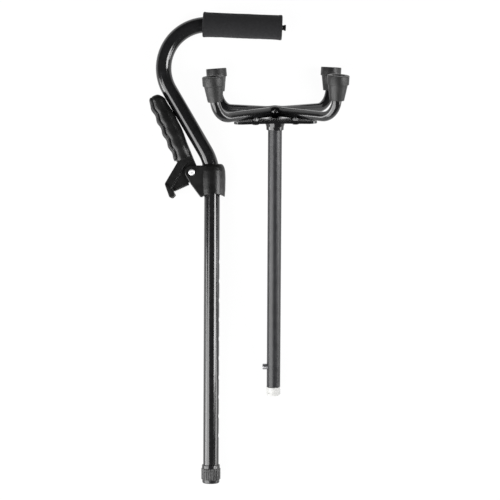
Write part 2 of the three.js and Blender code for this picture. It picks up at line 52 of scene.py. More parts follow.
# ---- driving dimensions, in millimetres --------------------------------------------------------------
GAP = 0.3  # clearance between neighbouring pieces
TUBE_R, TUBE_BORE_R, TUBE_START = 11.0, 10.0, 9.5
BEND_Y, BEND_LEAN, BEND_R = 449.2, 30.5, 75.0
CROOK_RUN, CROOK_R = 230.1, 61.0
BAR_DROP, BAR_RUN = 2.1, 212.4
HOLE_COUNT, HOLE_FIRST, HOLE_PITCH, HOLE_R = 10, 65.9, 27.2, 4.15
FOAM_START, FOAM_LENGTH, FOAM_R = 103.0, 111.4, 17.3
PIVOT_X, PIVOT_Y = -28.1, 435.7
FOLD_ANGLE = 65.4
NUT_MIDDLE = 13.0  # height of the lock nut's joint above the nut's bottom
INNER_R, INNER_BORE_R, INNER_END = 9.5, 8.3, 389.2
BUSH_R, BUSH_LENGTH, BUSH_FACE_X = 9.8, 12.2, 7.2
BUTTON_Y, BUTTON_R, BUTTON_REACH = 40.8, 4.0, 6.3
PLATE_LOW, PLATE_THICK, PLATE_GAP = 386.3, 1.6, 0.3
BOLT_X, BOLT_Z, BOLT_HOLE_R = 26.6, 41.0, 2.9
BASE_SKEW = 0.8  # degrees that the plates, legs and feet are turned against the tube
LEG_R, LEG_BORE_R = 6.5, 5.3
APEX_Y, APEX_Z, APEX_R = 398.9, 0.8, 14.0
FOOT_X, FOOT_Y, FOOT_Z, FOOT_R = 77.3, 396.8, 78.7, 25.5
FOOT_SPLAY, FOOT_DROP = 5.2, 55.6
TIP_HEIGHT, TIP_RIM_R, TIP_RIM_HEIGHT, TIP_BODY_R, TIP_MOUTH_R, TIP_FLOOR = 32.7, 14.3, 11.8, 12.7, 9.5, 10.0


# ---- the frames of the two halves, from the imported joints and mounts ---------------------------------
def joint(name):
    return next(j for j in frame["joints"] if j["name"] == name)


def mount(name):
    return next(m for m in RECORD["mounts"] if m["name"] == name)


def frame_matrix(origin, x, y, z):
    """Takes millimetres in a half's own frame to metres in the cane's frame."""
    columns = [v.normalized() * MM for v in (x, y, z)]
    matrix = Matrix([[c[i] for c in columns] + [origin[i]] for i in range(3)] + [[0, 0, 0, 1]])
    return matrix


def upper_frame():
    turn, fold = joint("lock_nut_turn"), joint("assist_handle_fold")
    y, z = Vector(turn["axis"]), Vector(fold["axis"])
    origin = Vector(turn["pos_m"]) - y.normalized() * NUT_MIDDLE * MM
    return frame_matrix(origin, y.cross(z), y, z)


def lower_frame():
    x = Vector(joint("snap_button_press")["axis"])
    face = mount("bush_end_face")
    y = -Vector(face["axis"])
    origin = Vector(face["pos_m"]) - x.normalized() * BUSH_FACE_X * MM
    return frame_matrix(origin, x, y, x.cross(y))


UPPER = upper_frame()
LOWER = lower_frame()
BASE_PIVOT = Vector((0, PLATE_LOW + PLATE_THICK, 0))
BASE = (LOWER @ Matrix.Translation(BASE_PIVOT) @ Matrix.Rotation(math.radians(BASE_SKEW), 4, "Z")
        @ Matrix.Translation(-BASE_PIVOT))
ASSIST = (UPPER @ Matrix.Translation((PIVOT_X, PIVOT_Y, 0))
          @ Matrix.Rotation(math.radians(-FOLD_ANGLE), 4, "Z"))


# ---- materials ---------------------------------------------------------------------------------------
class Shader:
    """A Principled material with a few short ways to add procedural detail in object space."""

    def __init__(self, name, color, roughness, **inputs):
        self.material = bpy.data.materials.new(name)
        self.material.use_nodes = True
        self.tree = self.material.node_tree
        self.bsdf = self.tree.nodes["Principled BSDF"]
        self.set("Base Color", (*color, 1))
        self.set("Roughness", roughness)
        for key, value in inputs.items():
            self.set(key.replace("_", " "), value)
        self.coords = self.tree.nodes.new("ShaderNodeTexCoord").outputs["Object"]
        self.height = None

    def set(self, socket, value):
        self.bsdf.inputs[socket].default_value = value

    def link(self, a, b):
        self.tree.links.new(a, b)

    def stretched(self, scale, turn=(0, 0, 0)):
        node = self.tree.nodes.new("ShaderNodeMapping")
        node.inputs["Scale"].default_value = scale
        node.inputs["Rotation"].default_value = turn
        self.link(self.coords, node.inputs["Vector"])
        return node.outputs["Vector"]

    def noise(self, scale, detail=3, roughness=0.5, vector=None):
        node = self.tree.nodes.new("ShaderNodeTexNoise")
        node.inputs["Scale"].default_value = scale
        node.inputs["Detail"].default_value = detail
        node.inputs["Roughness"].default_value = roughness
        self.link(vector or self.coords, node.inputs["Vector"])
        return node.outputs["Fac"]

    def cells(self, scale, feature="F1", vector=None):
        node = self.tree.nodes.new("ShaderNodeTexVoronoi")
        node.feature = feature
        node.inputs["Scale"].default_value = scale
        self.link(vector or self.coords, node.inputs["Vector"])
        return node.outputs["Distance"]

    def ramp(self, value, stops):
        node = self.tree.nodes.new("ShaderNodeValToRGB")
        elements = node.color_ramp.elements
        while len(elements) < len(stops):
            elements.new(0.5)
        for element, (position, color) in zip(elements, stops):
            element.position = position
            element.color = (*color, 1) if isinstance(color, tuple) else (color, color, color, 1)
        self.link(value, node.inputs["Fac"])
        return node.outputs["Color"]

    def vary(self, socket, value, stops):
        """Drives a socket from a texture value through a ramp."""
        self.link(self.ramp(value, stops), self.bsdf.inputs[socket])
        return self

    def bump(self, value, strength, distance):
        node = self.tree.nodes.new("ShaderNodeBump")
        node.inputs["Strength"].default_value = strength
        node.inputs["Distance"].default_value = distance
        self.link(value, node.inputs["Height"])
        if self.height is not None:
            self.link(self.height, node.inputs["Normal"])
        self.height = node.outputs["Normal"]
        self.link(self.height, self.bsdf.inputs["Normal"])
        return self


def gloss_coat(name, dark):
    s = Shader(name, (dark, dark, dark * 1.05), 0.2, IOR=1.42, Coat_Weight=0.25, Coat_Roughness=0.07)
    haze = s.noise(28, 4)
    s.vary("Roughness", haze, [(0.3, 0.10), (0.7, 0.20)])
    deep, worn = (dark, dark, dark * 1.05), (dark * 1.7, dark * 1.7, dark * 1.8)
    s.vary("Base Color", s.noise(160, 3), [(0.3, deep), (0.75, worn)])
    return s.bump(s.noise(700, 2), 0.06, 0.0004).material


def anodised(name):
    s = Shader(name, (0.012, 0.012, 0.013), 0.38, IOR=1.38)
    drawn = s.stretched((900, 14, 900))
    s.vary("Roughness", s.noise(1, 4, 0.6, drawn), [(0.25, 0.27), (0.75, 0.42)])
    s.vary("Base Color", s.noise(60, 4), [(0.3, (0.010, 0.010, 0.011)), (0.8, (0.022, 0.022, 0.024))])
    return s.bump(s.noise(1, 3, 0.5, drawn), 0.10, 0.0002).material


def moulded_nylon(name, dark, roughness=0.34):
    s = Shader(name, (dark, dark, dark), roughness, IOR=1.42)
    s.vary("Roughness", s.noise(45, 4), [(0.3, roughness - 0.07), (0.75, roughness + 0.12)])
    s.vary("Base Color", s.noise(240, 3), [(0.3, (dark * 0.8,) * 3), (0.8, (dark * 1.7,) * 3)])
    s.bump(s.cells(1100), 0.22, 0.0003)
    return s.bump(s.noise(2600, 2), 0.12, 0.0002).material


def closed_cell_foam():
    s = Shader("black_closed_cell_foam", (0.02, 0.02, 0.021), 0.96, IOR=1.3, Sheen_Weight=0.08,
               Sheen_Roughness=0.6)
    s.set("Sheen Tint", (0.5, 0.5, 0.52, 1))
    s.vary("Base Color", s.noise(420, 5, 0.7), [(0.25, (0.005, 0.005, 0.0055)), (0.8, (0.014, 0.014, 0.015))])
    s.bump(s.noise(60, 3), 0.30, 0.0012)
    s.bump(s.cells(1400), 0.55, 0.0006)
    return s.bump(s.noise(3200, 3), 0.35, 0.0003).material


def moulded_rubber(name, dark, light, roughness):
    s = Shader(name, (dark, dark, dark), roughness, IOR=1.36, Sheen_Weight=0.04, Sheen_Roughness=0.5)
    s.vary("Base Color", s.noise(55, 6, 0.65), [(0.3, (dark,) * 3), (0.75, (light,) * 3)])
    s.vary("Roughness", s.noise(120, 4), [(0.3, roughness - 0.08), (0.8, roughness + 0.12)])
    s.bump(s.noise(1500, 4), 0.28, 0.0004)
    return s.bump(s.noise(180, 3), 0.12, 0.0006).material


def bright_zinc():
    s = Shader("bright_zinc_steel", (0.85, 0.85, 0.86), 0.55, Metallic=1.0)
    s.vary("Roughness", s.noise(260, 4), [(0.3, 0.48), (0.8, 0.62)])
    s.vary("Base Color", s.noise(340, 4), [(0.3, (0.80, 0.80, 0.81)), (0.8, (0.93, 0.93, 0.93))])
    return s.bump(s.noise(1800, 2), 0.12, 0.0002).material


def natural_nylon():
    s = Shader("natural_white_nylon", (0.40, 0.40, 0.39), 0.45, IOR=1.53)
    s.vary("Base Color", s.noise(90, 4), [(0.3, (0.37, 0.37, 0.36)), (0.8, (0.43, 0.43, 0.42))])
    return s.bump(s.noise(900, 2), 0.10, 0.0003).material


def black_oxide():
    s = Shader("black_oxide_steel", (0.01, 0.01, 0.011), 0.34, IOR=1.5)
    s.vary("Base Color", s.noise(300, 4), [(0.3, (0.006, 0.006, 0.007)), (0.85, (0.022, 0.022, 0.023))])
    return s.bump(s.noise(1200, 3), 0.2, 0.0003).material


def dull_zinc():
    s = Shader("dull_zinc", (0.30, 0.30, 0.31), 0.42, Metallic=0.9)
    return s.vary("Roughness", s.noise(300, 3), [(0.3, 0.34), (0.8, 0.5)]).material


def nut_gloss_black():
    s = Shader("nut_gloss_black", (0.010, 0.010, 0.011), 0.22, IOR=1.5)
    return s.vary("Roughness", s.noise(80, 3), [(0.3, 0.18), (0.8, 0.30)]).material


FINISH = {
    "gloss_black_tube": gloss_coat("gloss_black_tube", 0.006),
    "gloss_black_steel": gloss_coat("gloss_black_steel", 0.005),
    "satin_black_tube": anodised("satin_black_tube"),
    "black_nylon": moulded_nylon("black_nylon", 0.004),
    "grey_black_nylon": moulded_nylon("grey_black_nylon", 0.016, 0.36),
    "black_foam": closed_cell_foam(),
    "grip_rubber": moulded_rubber("grip_rubber", 0.006, 0.013, 0.42),
    "foot_rubber": moulded_rubber("foot_rubber", 0.007, 0.018, 0.44),
    "zinc_steel": bright_zinc(),
    "white_nylon": natural_nylon(),
    "black_fastener": black_oxide(),
    "dull_zinc": dull_zinc(),
    "nut_gloss": nut_gloss_black(),
}

BODY_OF = {node: body for body, nodes in RECORD["behaviour"]["bodies"].items() for node in nodes}
SLOT_OF = {row["node"]: row["material_slot"] for row in RECORD["subparts"]}
for node, cad in frame["nodes"].items():
    cad.data.materials.clear()
    cad.data.materials.append(FINISH[SLOT_OF[node]])


# ---- mesh helpers ------------------------------------------------------------------------------------
def fillet(points, radius, closed=True, steps=4):
    """An outline with its corners rounded. A point may carry its own radius as a third value."""
    out = []
    count = len(points)
    for i, point in enumerate(points):
        own = point[2] if len(point) > 2 else radius
        corner = Vector(point[:2])
        if own == 0 or (not closed and i in (0, count - 1)):
            out.append(corner)
            continue
        before = Vector(points[i - 1][:2]) - corner
        after = Vector(points[(i + 1) % count][:2]) - corner
        turn = math.pi - before.angle(after, math.pi)
        if turn < math.radians(3):
            out.append(corner)
            continue
        back = min(own * math.tan(turn / 2), 0.46 * before.length, 0.46 * after.length)
        start, end = corner + before.normalized() * back, corner + after.normalized() * back
        for k in range(steps + 1):
            t = k / steps
            out.append(start * (1 - t) ** 2 + corner * (2 * t * (1 - t)) + end * t**2)
    return out


def mesh_from(bm, name):
    bmesh.ops.remove_doubles(bm, verts=bm.verts, dist=1e-5)
    bmesh.ops.recalc_face_normals(bm, faces=bm.faces)
    data = bpy.data.meshes.new(name)
    bm.to_mesh(data)
    bm.free()
    return data


def grid_mesh(name, rows, wrap_rows=False, cap=False):
    """A surface over rows of points. Each row closes on itself. wrap_rows joins the last row to the first."""
    bm = bmesh.new()
    made = [[bm.verts.new(p) for p in row] for row in rows]
    pairs = list(zip(made, made[1:])) + ([(made[-1], made[0])] if wrap_rows else [])
    for low, high in pairs:
        for i in range(len(low)):
            j = (i + 1) % len(low)
            bm.faces.new((low[i], low[j], high[j], high[i]))
    if cap:
        bm.faces.new(list(reversed(made[0])))
        bm.faces.new(made[-1])
    return mesh_from(bm, name)


def lathe(name, profile, sides=64, shape=None):
    """Turned about y. shape(radius, y, angle) may change a point's radius.

    A profile off the axis closes on itself.
    """
    rows = []
    for radius, y in profile:
        row = []
        for i in range(sides):
            angle = 2 * math.pi * i / sides
            r = shape(radius, y, angle) if shape else radius
            row.append(Vector((r * math.cos(angle), y, -r * math.sin(angle))))
        rows.append(row)
    on_axis = profile[0][0] < 1e-6 and profile[-1][0] < 1e-6
    return grid_mesh(name, rows, wrap_rows=not on_axis)


def turned(name, points, radius=0.4, sides=64, shape=None, steps=4):
    on_axis = points[0][0] < 1e-6 and points[-1][0] < 1e-6
    return lathe(name, fillet(points, radius, closed=not on_axis, steps=steps), sides, shape)


def along(start, direction):
    """A frame whose y axis starts at a point and runs along a direction."""
    turn = Vector((0, 1, 0)).rotation_difference(Vector(direction)).to_matrix().to_4x4()
    return Matrix.Translation(start) @ turn


def route(corners, spacing, step=4.0):
    """Points and tangents along straight stretches with rounded corners, given as (point, radius)."""
    places, ways = [], []

    def straight(a, b):
        length = (b - a).length
        steps = max(1, round(length / spacing))
        for k in range(steps + 1):
            places.append(a.lerp(b, k / steps))
            ways.append((b - a).normalized())

    last = corners[0][0]
    for i in range(1, len(corners) - 1):
        here, radius = corners[i]
        into = (here - corners[i - 1][0]).normalized()
        out = (corners[i + 1][0] - here).normalized()
        turn = into.angle(out)
        axis = into.cross(out).normalized()
        start = here - into * radius * math.tan(turn / 2)
        centre = start + axis.cross(into) * radius
        straight(last, start)
        steps = max(2, round(math.degrees(turn) / step))
        for k in range(1, steps + 1):
            rotation = Matrix.Rotation(turn * k / steps, 3, axis)
            places.append(centre + rotation @ (start - centre))
            ways.append(rotation @ into)
        last = places.pop()
        ways.pop()
    straight(last, corners[-1][0])
    return places, ways


def swept_rows(places, ways, radius, sides, shape=None):
    """Rings round a route, turned as little as possible from one to the next."""
    side = ways[0].orthogonal().normalized()
    rows = []
    for place, way in zip(places, ways):
        side = (side - way * side.dot(way)).normalized()
        other = way.cross(side)
        row = []
        for i in range(sides):
            angle = 2 * math.pi * i / sides
            out = side * math.cos(angle) + other * math.sin(angle)
            r = shape(radius, place, out) if shape else radius
            row.append(place + out * r)
        rows.append(row)
    return rows


def pipe(name, places, ways, radius, bore, sides=64, shape=None, lip=0.35):
    """A tube with a bore and slightly rounded ends."""
    outer = swept_rows(places, ways, radius, sides, shape)
    inner = swept_rows(places, ways, bore, sides, shape)

    def shrunk(row, place, way, r_from, r_to, back):
        return [place + (p - place) * (r_to / r_from) + way * back for p in row]

    first, last = outer[0], outer[-1]
    start = [shrunk(first, places[0], ways[0], radius, radius - lip, 0)]
    start.append([p + ways[0] * lip for p in first])
    end = [[p - ways[-1] * lip for p in last], shrunk(last, places[-1], ways[-1], radius, radius - lip, 0)]
    rows = start + outer[1:-1] + end + list(reversed(inner))
    return grid_mesh(name, rows, wrap_rows=True)


def prism(name, outline, low, high, bevel=0.0):
    """A flat outline in x and y with thickness along z, its rims rounded."""
    bm = bmesh.new()
    floor = [bm.verts.new((p[0], p[1], low)) for p in outline]
    roof = [bm.verts.new((p[0], p[1], high)) for p in outline]
    bottom = bm.faces.new(list(reversed(floor)))
    top = bm.faces.new(roof)
    for i in range(len(outline)):
        j = (i + 1) % len(outline)
        bm.faces.new((floor[i], floor[j], roof[j], roof[i]))
    if bevel:
        rims = list(set(bottom.edges) | set(top.edges))
        bmesh.ops.bevel(bm, geom=rims, offset=bevel, segments=3, affect="EDGES", profile=0.5,
                        clamp_overlap=True)
    return mesh_from(bm, name)


def rod_mesh(name, radius, a, b, sides=48):
    places = [Vector(a), Vector(b)]
    way = (places[1] - places[0]).normalized()
    return grid_mesh(name, swept_rows(places, [way, way], radius, sides), cap=True)


def brick_mesh(name, low, high):
    x0, y0, _ = low
    x1, y1, _ = high
    return prism(name, [(x0, y0), (x1, y0), (x1, y1), (x0, y1)], low[2], high[2])


def with_modifiers(data, *modifiers):
    """A mesh after modifiers. Each modifier is (type, settings), and a setting may be another mesh."""
    obj = bpy.data.objects.new("work", data)
    bpy.context.scene.collection.objects.link(obj)
    helpers = []
    for kind, settings in modifiers:
        modifier = obj.modifiers.new(kind, kind)
        for key, value in settings.items():
            if isinstance(value, bpy.types.Mesh):
                value = bpy.data.objects.new("helper", value)
                bpy.context.scene.collection.objects.link(value)
                helpers.append(value)
            setattr(modifier, key, value)
    bpy.context.view_layer.update()
    evaluated = obj.evaluated_get(bpy.context.evaluated_depsgraph_get())
    result = bpy.data.meshes.new_from_object(evaluated)
    for used in [obj, *helpers]:
        bpy.data.objects.remove(used)
    return result


def cut(data, *tools):
    for tool in tools:
        settings = {"operation": "DIFFERENCE", "solver": "EXACT", "object": tool}
        data = with_modifiers(data, ("BOOLEAN", settings))
    return data


def joined(name, *meshes):
    """Meshes side by side in one, for the voxel remesh to fuse."""
    bm = bmesh.new()
    for data in meshes:
        bm.from_mesh(data)
    result = bpy.data.meshes.new(name)
    bm.to_mesh(result)
    bm.free()
    return result


def moulded(data, voxel, smooth=6):
    """Overlapping solids fused into one moulded skin with soft inner corners."""
    return with_modifiers(
        data,
        ("REMESH", {"mode": "VOXEL", "voxel_size": voxel, "use_smooth_shade": True}),
        ("SMOOTH", {"factor": 0.5, "iterations": smooth}),
    )


def sharpen(data, degrees):
    bm = bmesh.new()
    bm.from_mesh(data)
    limit = math.radians(degrees)
    for face in bm.faces:
        face.smooth = True
    for edge in bm.edges:
        edge.smooth = len(edge.link_faces) == 2 and edge.calc_face_angle(0) < limit
    bm.to_mesh(data)
    bm.free()


def piece(name, data, place, *nodes, finish=None, body=None, sharp=40):
    """Puts a mesh, made in millimetres in a half's frame, on the cane in place of its CAD nodes."""
    sharpen(data, sharp)
    data.transform(place)
    obj = bpy.data.objects.new(name, data)
    bpy.context.scene.collection.objects.link(obj)
    slot = finish or SLOT_OF[nodes[0]]
    data.materials.clear()
    data.materials.append(FINISH[slot])
    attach(obj, body or BODY_OF[nodes[0]])
    if nodes:
        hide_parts(*nodes)
    return obj


# ---- handle tube, foam grip and end plug -------------------------------------------------------------
LEAN_OUT = Vector((-math.sin(math.radians(BEND_LEAN)), math.cos(math.radians(BEND_LEAN)), 0))
BAR_OUT = Vector((math.cos(math.radians(BAR_DROP)), -math.sin(math.radians(BAR_DROP)), 0))
BEND_CORNER = Vector((0, BEND_Y, 0))
CROOK_CORNER = BEND_CORNER + LEAN_OUT * CROOK_RUN
BAR_END = CROOK_CORNER + BAR_OUT * BAR_RUN


def handle_corners(start):
    return [(Vector((0, start, 0)), 0), (BEND_CORNER, BEND_R), (CROOK_CORNER, CROOK_R), (BAR_END, 0)]


def make_handle_tube():
    places, ways = route(handle_corners(TUBE_START), spacing=4.0, step=3.0)
    data = pipe("handle_tube_body", places, ways, TUBE_R, TUBE_BORE_R, sides=72)
    drills = []
    for i in range(HOLE_COUNT):
        y = HOLE_FIRST + i * HOLE_PITCH
        drills.append(rod_mesh("drill", HOLE_R, (TUBE_BORE_R - 4, y, 0), (TUBE_R + 2, y, 0), 40))
    data = cut(data, joined("drills", *drills))
    piece("handle_tube_shell", data, UPPER, "handle_tube")


def make_foam_grip():
    bore = TUBE_R + GAP
    rows = fillet(
        [(bore + 1.2, 0, 0.5), (FOAM_R, 0, 2.6), (FOAM_R, FOAM_LENGTH, 2.6), (bore + 0.6, FOAM_LENGTH, 0.5),
         (bore, FOAM_LENGTH - 2, 0), (bore, 9, 0)],
        1.0, steps=8)
    profile = []
    for a, b in zip(rows, rows[1:] + rows[:1]):
        steps = max(1, round((b - a).length / 1.2))
        profile.extend(a.lerp(b, k / steps) for k in range(steps))

    def soft(radius, y, angle):
        if radius < bore + 3:
            return radius
        drift = noise.noise(Vector((y * 0.035, math.cos(angle) * 0.5, math.sin(angle) * 0.5 + 3.1)))
        dimple = noise.noise(Vector((y * 0.25, math.cos(angle) * 2.4, math.sin(angle) * 2.4 + 7.7)))
        share = min(1, (radius - bore - 3) / 3)
        flare = math.exp(-(y / 5) ** 2) + math.exp(-((FOAM_LENGTH - y) / 5) ** 2)
        return radius + share * (0.4 * drift + 0.16 * dimple + 0.75 * flare - 0.2)

    data = lathe("foam_sleeve", profile, 128, soft)
    start = CROOK_CORNER + BAR_OUT * FOAM_START
    obj = piece("foam_grip_sleeve", data, UPPER @ along(start, BAR_OUT), "foam_grip", sharp=60)


def make_end_plug():
    face = FOAM_START + FOAM_LENGTH - BAR_RUN
    body = TUBE_BORE_R - GAP
    data = turned(
        "end_plug",
        [(0, -16), (body - 0.8, -16), (body, -14.5), (body, GAP, 0), (TUBE_R, GAP), (TUBE_R, face),
         (3.5, face, 0.8), (3.5, face + 2.7, 0.3), (4.2, face + 2.7), (4.2, face + 5.2), (0, face + 5.2)],
        0.35, 48)
    piece("strap_stud_plug", data, UPPER @ along(BAR_END, BAR_OUT), "grip_end_plug")


# ---- pivot bracket and its pin -----------------------------------------------------------------------
BRACKET_LOW, BRACKET_HIGH, BRACKET_R, BRACKET_DEPTH = 402.0, 448.0, 19.0, 15.5
CHEEK_OUT, CHEEK_IN, SLOT_X, NOSE_R = 12.0, 8.6, -13.8, 9.7
ARCH_X, ARCH_R, ARCH_RISE = 2.0, 29.7, 4.3
SCREW_Y, SCREW_RECESS_R, SCREW_RECESS_Z = 416.0, 3.9, -13.1
PIN_HOLE_R, PIN_HEAD_R = 3.3, 4.5
THROUGH = 20  # how far a cutting tool reaches to each side of the middle


def arc(centre, radius, start, end, steps):
    points = []
    for k in range(steps + 1):
        angle = math.radians(start + (end - start) * k / steps)
        points.append((centre[0] + radius * math.cos(angle), centre[1] + radius * math.sin(angle)))
    return points


def make_bracket():
    low, high, radius = BRACKET_LOW, BRACKET_HIGH, BRACKET_R
    sleeve = turned(
        "sleeve",
        [(0, low), (radius - 1, low, 0.8), (radius - 0.3, low + 10, 8), (radius, low + 26, 12),
         (radius - 0.5, high - 10, 6), (radius - 1.7, high - 4.5, 4), (radius - 4, high - 0.6, 3),
         (radius - 6, high, 2), (0, high)],
        0.8, 96)
    for vertex in sleeve.vertices:
        vertex.co.z *= BRACKET_DEPTH / radius
    outline = [(0, low + 1), (0, PIVOT_Y + NOSE_R), (PIVOT_X, PIVOT_Y + NOSE_R)]
    outline += arc((PIVOT_X, PIVOT_Y), NOSE_R, 96, 218, 20)
    outline += [(PIVOT_X - 1.2, PIVOT_Y - 17), (PIVOT_X + 11.5, low - 0.4), (PIVOT_X + 14.5, low - 0.4)]
    cheeks = prism("cheeks", outline, -CHEEK_OUT, CHEEK_OUT, bevel=0.9)
    body = moulded(joined("bracket", sleeve, cheeks), 0.55, smooth=5)
    arch_y = low + ARCH_RISE - ARCH_R
    shaft_places, shaft_ways = route(handle_corners(low - 20)[:3], 6.0, 3.0)
    body = cut(
        body,
        rod_mesh("arch", ARCH_R, (ARCH_X, arch_y, -THROUGH), (ARCH_X, arch_y, THROUGH), 160),
        brick_mesh("slot", (-60, low - 10, -CHEEK_IN), (SLOT_X, high + 10, CHEEK_IN)),
        grid_mesh("shaft", swept_rows(shaft_places, shaft_ways, TUBE_R + GAP, 72), cap=True),
        rod_mesh("pin_hole", PIN_HOLE_R, (PIVOT_X, PIVOT_Y, -THROUGH), (PIVOT_X, PIVOT_Y, THROUGH), 32),
        rod_mesh("screw_recess", SCREW_RECESS_R, (0, SCREW_Y, -THROUGH), (0, SCREW_Y, SCREW_RECESS_Z), 32),
    )
    piece("pivot_bracket_body", body, UPPER, "pivot_bracket", sharp=48)


def make_pivot_pin():
    inner = CHEEK_OUT + GAP
    half = [(3.0, inner, 0.15), (PIN_HEAD_R, inner, 0.3), (PIN_HEAD_R, inner + 0.55, 0.5),
            (3.4, inner + 1.8, 0.9), (1.5, inner + 2.0, 0.4), (0.9, inner + 1.2, 0.4)]
    data = turned(
        "pivot_pin",
        [(0, -inner - 1.15)] + [(r, -y, f) for r, y, f in reversed(half)] + half + [(0, inner + 1.15)],
        0.3, 64)
    piece("pivot_rivet", data, UPPER @ along((PIVOT_X, PIVOT_Y, 0), (0, 0, 1)), "pivot_pin")


# ---- assist handle, in its own frame: pivot at the origin, grip level towards -x ---------------------
GRIP_LENGTH, GRIP_DEPTH, WEB, LIP, JAW_X, PAD_THICK, NOTCH_R = 119.6, 16.2, 7.0, 14.5, 13.94, 2.7, 11.5
FINGER_EDGE, FINGER_WAVE, FINGER_PITCH, FINGER_RIDGE, STRIP_DEPTH = 15.15, 0.85, 18.9, -45.7, 5.0
GRIP_MIDDLE = -3.0
PALM_STOPS = [(-120, 6.0), (-109, 8.6), (-79.6, 11.7), (-62, 12.5), (-34.3, 10.9), (-20, 10.4)]
SECTION_POWER = 0.74  # below 1 the grip's section is a rounded box
STRIP_SETBACK, STRIP_END = 1.2, -25
BED_GAP, BED_OVERCUT, BED_WIDER = 0.12, 0.8, 3.0  # how much larger the bed is cut than the strip


def blend_between(stops, x):
    """A smooth curve through (x, value) stops."""
    for (x0, v0), (x1, v1) in zip(stops, stops[1:]):
        if x <= x1:
            t = max(0.0, min(1.0, (x - x0) / (x1 - x0)))
            t = t * t * (3 - 2 * t)
            return v0 + (v1 - v0) * t
    return stops[-1][1]


def finger_line(x, inset=0.0):
    wave = FINGER_WAVE * math.cos(2 * math.pi * (x - FINGER_RIDGE) / FINGER_PITCH)
    return inset - FINGER_EDGE - wave


def palm_line(x):
    return blend_between(PALM_STOPS, x)


def soft_power(value):
    return math.copysign(abs(value) ** SECTION_POWER, value)


def grip_rows(from_x, to_x, steps, low, high, depth, sides=72):
    """Rounded-box sections along x. low and high give each section's edges, and depth its half-thickness."""
    rows = []
    for i in range(steps + 1):
        x = from_x + (to_x - from_x) * i / steps
        y0, y1, half = low(x), high(x), depth(x)
        middle, reach = (y0 + y1) / 2, (y1 - y0) / 2
        row = []
        for k in range(sides):
            angle = 2 * math.pi * k / sides
            y = middle + reach * soft_power(math.sin(angle))
            row.append(Vector((x, y, half * soft_power(math.cos(angle)))))
        rows.append(row)
    return rows


def end_taper(x, soft=10.0):
    """Falls from 1 to 0 over the rounded free end of the grip."""
    t = min(1.0, max(0.0, (x + GRIP_LENGTH) / soft))
    return math.sqrt(1 - (1 - t) ** 2)


def make_assist_handle():
    middle = GRIP_MIDDLE

    def low(x):
        edge = finger_line(x, STRIP_DEPTH * 0.35)
        return middle + (edge - middle) * (0.30 + 0.70 * end_taper(x))

    def high(x):
        return middle + (palm_line(x) - middle) * (0.30 + 0.70 * end_taper(x))

    def depth(x):
        waist = 1 - 0.12 * blend_between([(-40, 0), (-21, 1)], x)
        return (GRIP_DEPTH - 0.15) * (0.62 + 0.38 * end_taper(x, 8.0)) * waist

    grip = grid_mesh("grip", grip_rows(0.25 - GRIP_LENGTH, -22, 110, low, high, depth), cap=True)
    jaw = JAW_X - PAD_THICK - GAP
    web = prism(
        "web",
        fillet([(-34, 10.4), (-8, 9.9), (0, 9.9), (7, 7), (9.9, 0), (jaw, -9.9, 1), (jaw, -34.1, 0.5),
                (19.4, -34.1, 1), (21.6, -40, 1.6), (18.8, -42.9, 1.6), (-1, -41.3, 3), (-22.5, -10.8, 2),
                (-34, -9.5)], 1.5),
        -WEB, WEB, bevel=0.8)
    shoulder = prism(
        "shoulder",
        fillet([(-34, 10.0), (-17, 10.2), (-13.5, 0), (-11.5, -6.6), (9.6, -37), (9, -42.3), (-1, -41.3, 3),
                (-22.5, -10.8, 2), (-34, -9.8)], 1.5),
        -CHEEK_OUT, CHEEK_OUT, bevel=1.2)
    saddle = prism(
        "saddle",
        fillet([(8.2, -36.4), (16, -34.4), (19.4, -34.1, 1.2), (21.6, -40, 1.8), (18.8, -42.9, 1.8),
                (-1, -41.3, 3), (3, -37.6)], 1.0),
        -LIP, LIP, bevel=1.3)
    body = moulded(joined("assist", grip, web, shoulder, saddle), 0.6, smooth=5)
    shaft_x = -PIVOT_X
    body = cut(
        body,
        rod_mesh("notch", NOTCH_R, (shaft_x, -60, 0), (shaft_x, -20, 0), 96),
        rod_mesh("bore", PIN_HOLE_R, (0, 0, -THROUGH), (0, 0, THROUGH), 32),
        strip_mesh(BED_GAP),
    )
    piece("assist_handle_body", body, ASSIST, "assist_handle", sharp=48)


def strip_mesh(grow):
    """The soft strip under the fingers, or, grown a little, the bed that it lies in."""
    from_x, to_x = STRIP_SETBACK - GRIP_LENGTH - grow, STRIP_END + grow
    overcut, wider = (BED_OVERCUT, BED_WIDER) if grow else (0, 0)
    half_section = [(0.3, 0), (0.6, 0.04), (0.8, 0.13), (0.93, 0.3), (1, 0.55), (1, 1)]
    section = [(-z, y) for z, y in reversed(half_section)] + [(0, 0)] + half_section
    steps = 150
    rows = []
    for i in range(steps + 1):
        x = from_x + (to_x - from_x) * i / steps
        ends = min(1.0, (i / steps) * 16, (1 - i / steps) * 22)
        ends = math.sqrt(1 - (1 - ends) ** 2) if ends < 1 else 1.0
        hug = 0.30 + 0.70 * end_taper(x)
        outer = GRIP_MIDDLE + (finger_line(x) - GRIP_MIDDLE) * hug - overcut
        inner = outer + STRIP_DEPTH + grow + overcut
        top = outer + (inner - outer) * (0.35 + 0.65 * ends)
        half = (GRIP_DEPTH - 1.4 + wider) * (0.8 + 0.2 * ends)
        row = []
        for z_share, y_share in section:
            share = 0 if grow and y_share < 1 else y_share
            row.append(Vector((x, outer + (top - outer) * share, half * z_share)))
        rows.append(row)
    return grid_mesh("strip", rows, cap=True)


def make_finger_grip():
    data = strip_mesh(0.0)
    piece("finger_grip_strip", data, ASSIST, "finger_grip", sharp=50)


